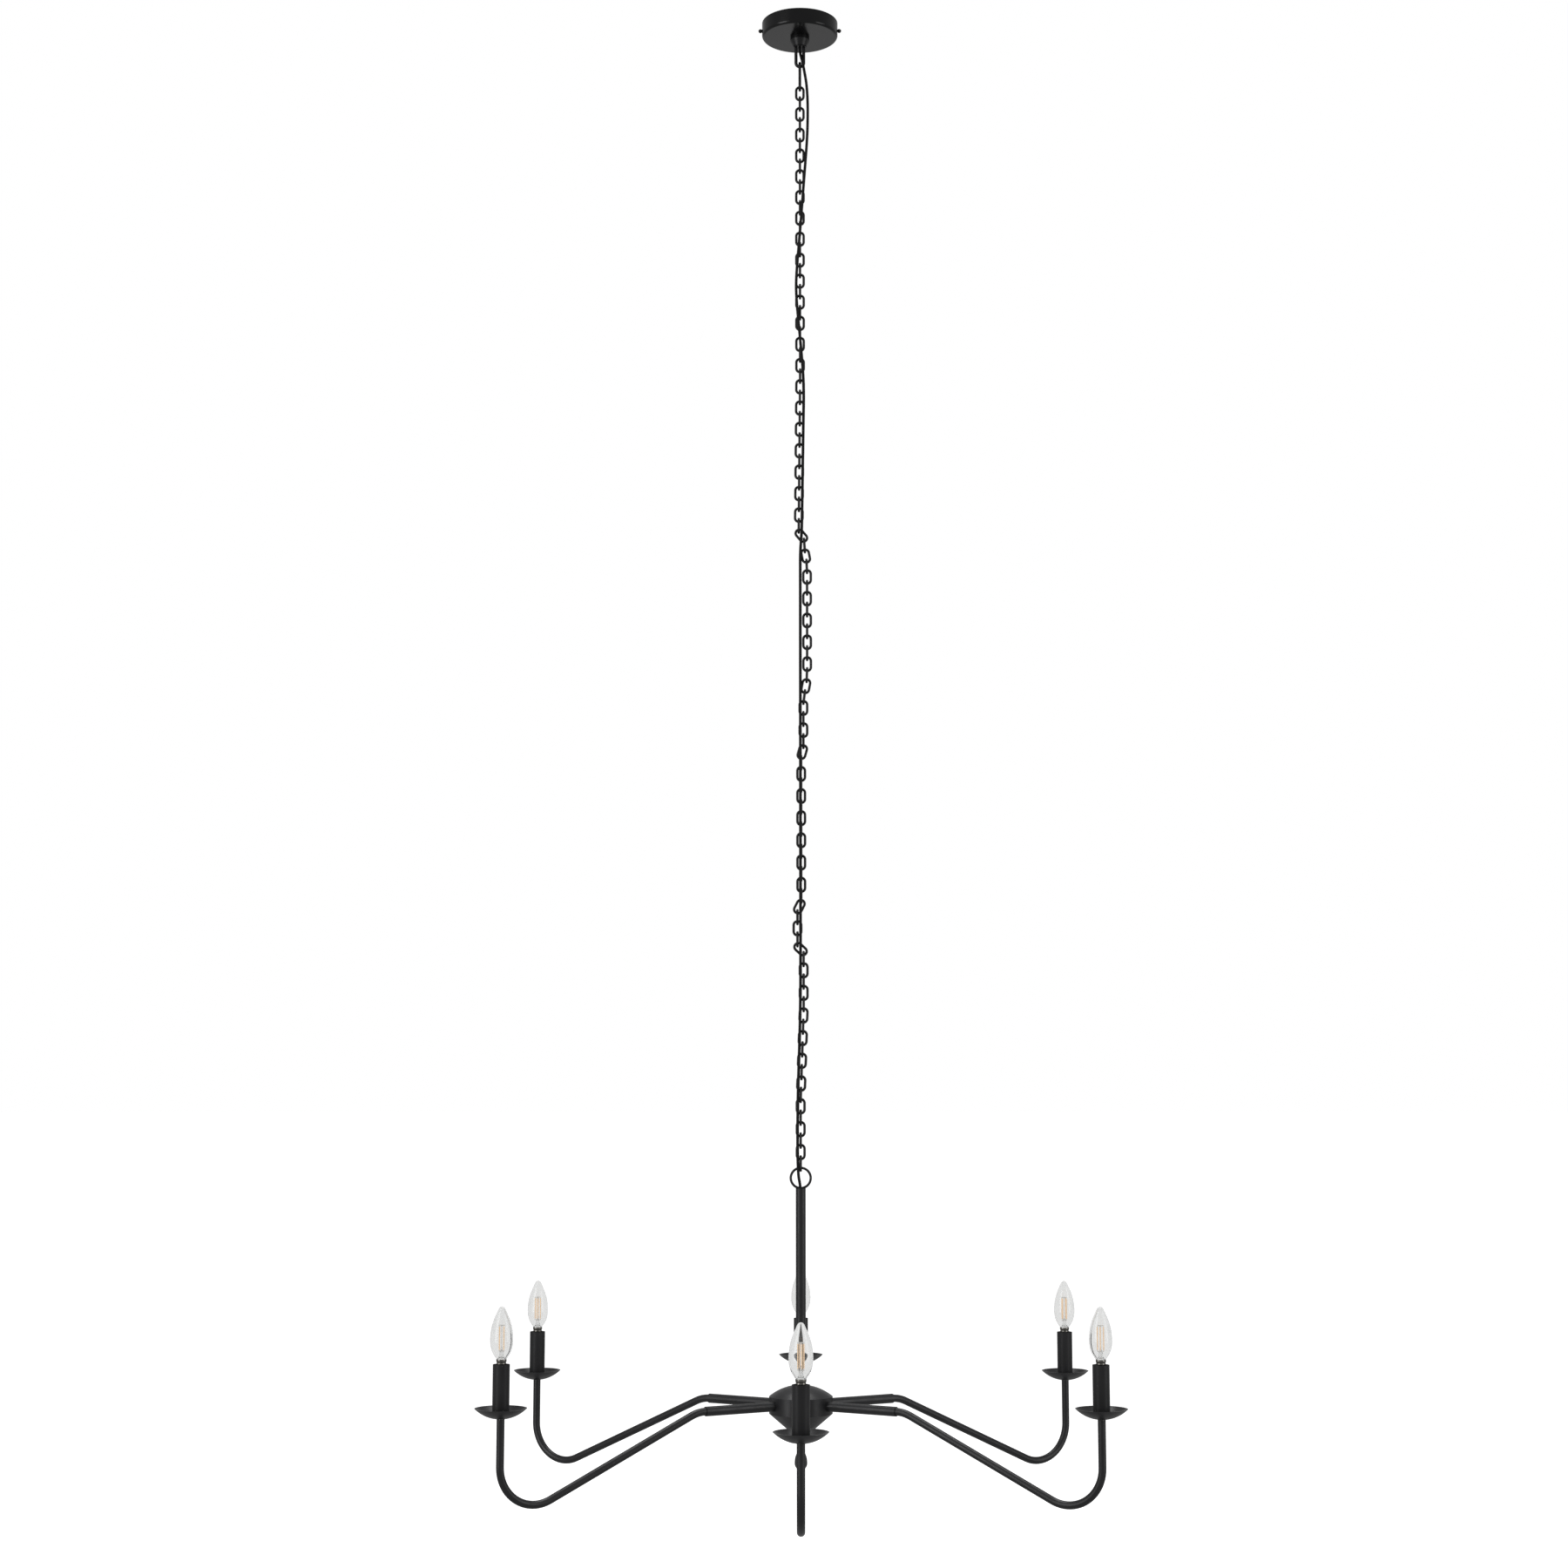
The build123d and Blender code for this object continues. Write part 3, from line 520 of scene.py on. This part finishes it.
# Studio: a wide floor of pale paper under the lamp, a white room, soft panels of light and the camera. The
# room is darker to reflections than to the camera, so that the black coats stay black.
floor_side = 240.0
floor_z = -2.8
bpy.ops.object.select_all(action="DESELECT")
bpy.ops.mesh.primitive_plane_add(size=1.0, location=(0, 0, 0))
floor = bpy.context.object
floor.name = "studio_floor"
bpy.ops.object.mode_set(mode="EDIT")
bpy.ops.mesh.select_all(action="SELECT")
bpy.ops.transform.resize(value=(floor_side, floor_side, 1.0))
bpy.ops.transform.translate(value=(0, 0, floor_z))
bpy.ops.object.mode_set(mode="OBJECT")
paper, shader, place = new_finish("pale_paper")
tint(paper, grain(paper, place, size=0.4), dark=(0.93, 0.93, 0.93), light=(0.95, 0.95, 0.95))
gloss(paper, grain(paper, place, size=0.05), least=0.85, most=0.95)
shader.inputs["Emission Color"].default_value = (1.0, 1.0, 1.0, 1)
shader.inputs["Emission Strength"].default_value = 0.80
floor.data.materials.append(paper)
floor.visible_glossy = False
floor.visible_diffuse = False
floor.visible_transmission = False

room_light = 0.35
seen_light = 0.65
glass_light = 0.64
room = bpy.data.worlds.new("studio")
bpy.context.scene.world = room
room.use_nodes = True
backdrop = room.node_tree.nodes["Background"]
backdrop.inputs["Color"].default_value = (1.0, 1.0, 1.0, 1)
rays = room.node_tree.nodes.new("ShaderNodeLightPath")
seen = room.node_tree.nodes.new("ShaderNodeMath")
seen.operation = "MULTIPLY_ADD"
seen.inputs[1].default_value = seen_light
seen.inputs[2].default_value = room_light
through = room.node_tree.nodes.new("ShaderNodeMath")
through.operation = "MULTIPLY_ADD"
through.inputs[1].default_value = glass_light
room.node_tree.links.new(rays.outputs["Is Camera Ray"], seen.inputs[0])
room.node_tree.links.new(rays.outputs["Is Transmission Ray"], through.inputs[0])
room.node_tree.links.new(seen.outputs["Value"], through.inputs[2])
room.node_tree.links.new(through.outputs["Value"], backdrop.inputs["Strength"])


def panel(name, place, aim, width, height, power):
    """A soft light panel that faces a point."""
    light = bpy.data.lights.new(name, "AREA")
    light.shape = "RECTANGLE"
    light.size = width
    light.size_y = height
    light.energy = power
    lamp = bpy.data.objects.new(name, light)
    bpy.context.collection.objects.link(lamp)
    lamp.location = place
    lamp.visible_transmission = False
    way = [to - start for to, start in zip(aim, place)]
    lamp.rotation_euler = (
        math.atan2(math.hypot(way[0], way[1]), -way[2]),
        0,
        math.atan2(way[1], way[0]) - math.pi / 2,
    )


panel("key_panel", place=(-3.2, -2.6, -0.9), aim=(0, 0, -2.0), width=1.8, height=4.2, power=62)
panel("fill_panel", place=(3.4, -1.8, -1.2), aim=(0, 0, -2.1), width=1.6, height=3.6, power=32)
panel("top_panel", place=(0, 0.6, 1.6), aim=(0, 0, -2.2), width=2.4, height=2.4, power=60)
panel("back_panel", place=(0, 4.0, -1.8), aim=(0, 0, 0), width=4.0, height=2.6, power=7)

camera_tilt = 97.06
camera_turn = 0.38
lens = bpy.data.cameras.new("camera")
lens.lens = 57.24
lens.sensor_width = 36.0
camera = bpy.data.objects.new("camera", lens)
bpy.context.collection.objects.link(camera)
camera.location = (0.0, -4.045, -1.802)
camera.rotation_euler = (math.radians(camera_tilt), 0, math.radians(camera_turn))
bpy.context.scene.camera = camera
bpy.context.scene.view_settings.view_transform = "Standard"
